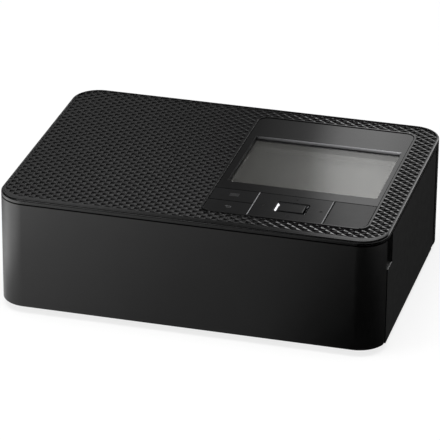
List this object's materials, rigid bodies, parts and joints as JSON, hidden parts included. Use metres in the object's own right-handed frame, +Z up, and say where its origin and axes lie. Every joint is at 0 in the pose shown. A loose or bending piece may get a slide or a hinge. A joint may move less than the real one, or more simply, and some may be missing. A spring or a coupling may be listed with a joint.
{
  "type": "compact photo printer",
  "caption": "Compact photo printer: flat black box, lozenge-patterned lid, flush screen and key panel, fold-down front door, side cassette door.",
  "frame": {"origin": "on the table, under the middle of the body", "axes": "+X to the printer's right, +Y to its back, +Z up; the front door faces -Y"},
  "size_m": [0.1822, 0.133, 0.0576],
  "materials": {
    "case_black": "fine satin, injection moulded",
    "cover_black": "satin, raised lozenge pattern",
    "panel_black": "smooth semi-gloss",
    "key_black": "smooth satin",
    "screen_glass": "clear, dark tinted",
    "display_grey": "switched-off display",
    "bright_trim": "bright plated",
    "inner_black": "plain moulded",
    "bay_grey": "plain moulded",
    "cassette_grey": "plain moulded",
    "gear_white": "acetal",
    "rubber": "ground rubber",
    "steel": "zinc plated sheet and turned bar",
    "aluminium": "extruded",
    "ceramic": "glazed",
    "board_green": "solder resist",
    "part_black": "moulded",
    "ribbon": "thin film",
    "bush": "plain bearing"
  },
  "bodies": {
    "case": {"main_case": "case_black", "top_cover": "cover_black", "control_panel": "panel_black", "display_window": "screen_glass", "display_module": "display_grey", "panel_board": "board_green", "front_door_pins": "steel", "side_door_pins": "steel", "front_frame": "inner_black", "paper_bay": "bay_grey", "base_plate": "inner_black", "rubber_feet": "rubber", "case_screws": "steel", "chassis_left": "steel", "chassis_right": "steel", "chassis_ties": "steel", "roller_bushes": "bush", "drive_belt": "rubber", "feed_motor": "steel", "ribbon_motor": "steel", "ink_cassette": "cassette_grey", "ribbon_film": "ribbon", "head_pivot_shaft": "steel", "main_board": "board_green", "board_parts": "part_black", "card_board": "board_green", "card_socket": "steel", "usb_socket": "steel", "power_switch": "part_black", "dc_inlet": "part_black", "fan_frame": "part_black"},
    "front_door": {"front_door": "case_black"},
    "side_door": {"side_door": "case_black"},
    "menu_button": {"menu_button": "key_black"},
    "back_button": {"back_button": "key_black"},
    "print_button": {"print_button": "key_black"},
    "pad_carrier": {"pad_carrier": "inner_black"},
    "direction_pad": {"direction_pad": "key_black", "ok_frame": "bright_trim"},
    "ok_button": {"ok_button": "key_black"},
    "power_button": {"power_button": "key_black"},
    "platen": {"platen_roller": "rubber"},
    "capstan": {"capstan_roller": "steel", "capstan_gear": "gear_white", "capstan_pulley": "gear_white"},
    "pinch": {"pinch_roller": "rubber"},
    "pickup": {"pickup_roller": "rubber", "pickup_pulley": "gear_white"},
    "feed_pinion": {"feed_pinion": "gear_white"},
    "take_up": {"take_up_spool": "cassette_grey", "ribbon_gear": "gear_white"},
    "supply": {"supply_spool": "cassette_grey"},
    "ribbon_idler": {"ribbon_idler": "gear_white"},
    "ribbon_pinion": {"ribbon_pinion": "gear_white"},
    "print_head": {"head_frame": "steel", "heat_sink": "aluminium", "thermal_head": "ceramic"},
    "cassette_lock": {"cassette_lock": "steel"},
    "fan": {"fan_rotor": "part_black"}
  },
  "joints": [
    {"name": "front_door_hinge", "type": "hinge", "parent": "case", "child": "front_door", "pos_m": [0, -0.062, 0.0059], "axis": [1, 0, 0], "range_deg": [0, 90]},
    {"name": "side_door_hinge", "type": "hinge", "parent": "case", "child": "side_door", "pos_m": [0.0889, 0.048, 0.029], "axis": [0, 0, 1], "range_deg": [0, 90]},
    {"name": "menu_press", "type": "slide", "parent": "case", "child": "menu_button", "axis": [0, 0, -1], "range_m": [0, 0.0006], "stiffness_N_per_m": 400, "springref_m": -0.0006},
    {"name": "back_press", "type": "slide", "parent": "case", "child": "back_button", "axis": [0, 0, -1], "range_m": [0, 0.0006], "stiffness_N_per_m": 400, "springref_m": -0.0006},
    {"name": "print_press", "type": "slide", "parent": "case", "child": "print_button", "axis": [0, 0, -1], "range_m": [0, 0.0006], "stiffness_N_per_m": 400, "springref_m": -0.0006},
    {"name": "ok_press", "type": "slide", "parent": "case", "child": "ok_button", "axis": [0, 0, -1], "range_m": [0, 0.0006], "stiffness_N_per_m": 400, "springref_m": -0.0006},
    {"name": "pad_rock_sideways", "type": "hinge", "parent": "case", "child": "pad_carrier", "pos_m": [0.0423, -0.0398, 0.05375], "axis": [0, 1, 0], "range_deg": [-1.2, 1.2], "stiffness_Nm_per_rad": 0.2},
    {"name": "pad_rock_forward", "type": "hinge", "parent": "pad_carrier", "child": "direction_pad", "pos_m": [0.0423, -0.0398, 0.05465], "axis": [1, 0, 0], "range_deg": [-1.2, 1.2], "stiffness_Nm_per_rad": 0.2},
    {"name": "power_press", "type": "slide", "parent": "case", "child": "power_button", "axis": [1, 0, 0], "range_m": [0, 0.001], "stiffness_N_per_m": 400, "springref_m": -0.0006},
    {"name": "capstan_spin", "type": "hinge", "parent": "case", "child": "capstan", "pos_m": [0, 0.046, 0.02535], "axis": [1, 0, 0], "continuous": true},
    {"name": "platen_spin", "type": "hinge", "parent": "case", "child": "platen", "pos_m": [0, 0.014, 0.015], "axis": [1, 0, 0], "continuous": true},
    {"name": "pinch_spin", "type": "hinge", "parent": "case", "child": "pinch", "pos_m": [0, 0.046, 0.018], "axis": [1, 0, 0], "continuous": true},
    {"name": "pickup_spin", "type": "hinge", "parent": "case", "child": "pickup", "pos_m": [0, -0.026, 0.03035], "axis": [1, 0, 0], "continuous": true},
    {"name": "feed_pinion_spin", "type": "hinge", "parent": "case", "child": "feed_pinion", "pos_m": [-0.079, 0.03559, 0.0132], "axis": [1, 0, 0], "continuous": true},
    {"name": "take_up_spin", "type": "hinge", "parent": "case", "child": "take_up", "pos_m": [0, 0.032, 0.033], "axis": [1, 0, 0], "continuous": true},
    {"name": "supply_spin", "type": "hinge", "parent": "case", "child": "supply", "pos_m": [0, -0.004, 0.033], "axis": [1, 0, 0], "continuous": true},
    {"name": "ribbon_idler_spin", "type": "hinge", "parent": "case", "child": "ribbon_idler", "pos_m": [-0.071, 0.01031, 0.02477], "axis": [1, 0, 0], "continuous": true},
    {"name": "ribbon_pinion_spin", "type": "hinge", "parent": "case", "child": "ribbon_pinion", "pos_m": [-0.071, -0.004, 0.0132], "axis": [1, 0, 0], "continuous": true},
    {"name": "head_lift", "type": "hinge", "parent": "case", "child": "print_head", "pos_m": [0, 0.0525, 0.036], "axis": [-1, 0, 0], "range_deg": [0, 2]},
    {"name": "lock_turn", "type": "hinge", "parent": "case", "child": "cassette_lock", "pos_m": [0.068, 0.0438, 0.037], "axis": [-1, 0, 0], "range_deg": [0, 60]},
    {"name": "fan_spin", "type": "hinge", "parent": "case", "child": "fan", "pos_m": [-0.03, 0.0603, 0.0375], "axis": [0, 1, 0], "continuous": true}
  ],
  "couplings": [
    {"joint": "platen_spin", "follows": "capstan_spin", "ratio": -0.42857},
    {"joint": "pinch_spin", "follows": "capstan_spin", "ratio": -0.75},
    {"joint": "pickup_spin", "follows": "capstan_spin", "ratio": 1},
    {"joint": "feed_pinion_spin", "follows": "capstan_spin", "ratio": -2.3333},
    {"joint": "supply_spin", "follows": "take_up_spin", "ratio": 0.72414},
    {"joint": "ribbon_idler_spin", "follows": "take_up_spin", "ratio": -0.70588},
    {"joint": "ribbon_pinion_spin", "follows": "take_up_spin", "ratio": 2}
  ]
}
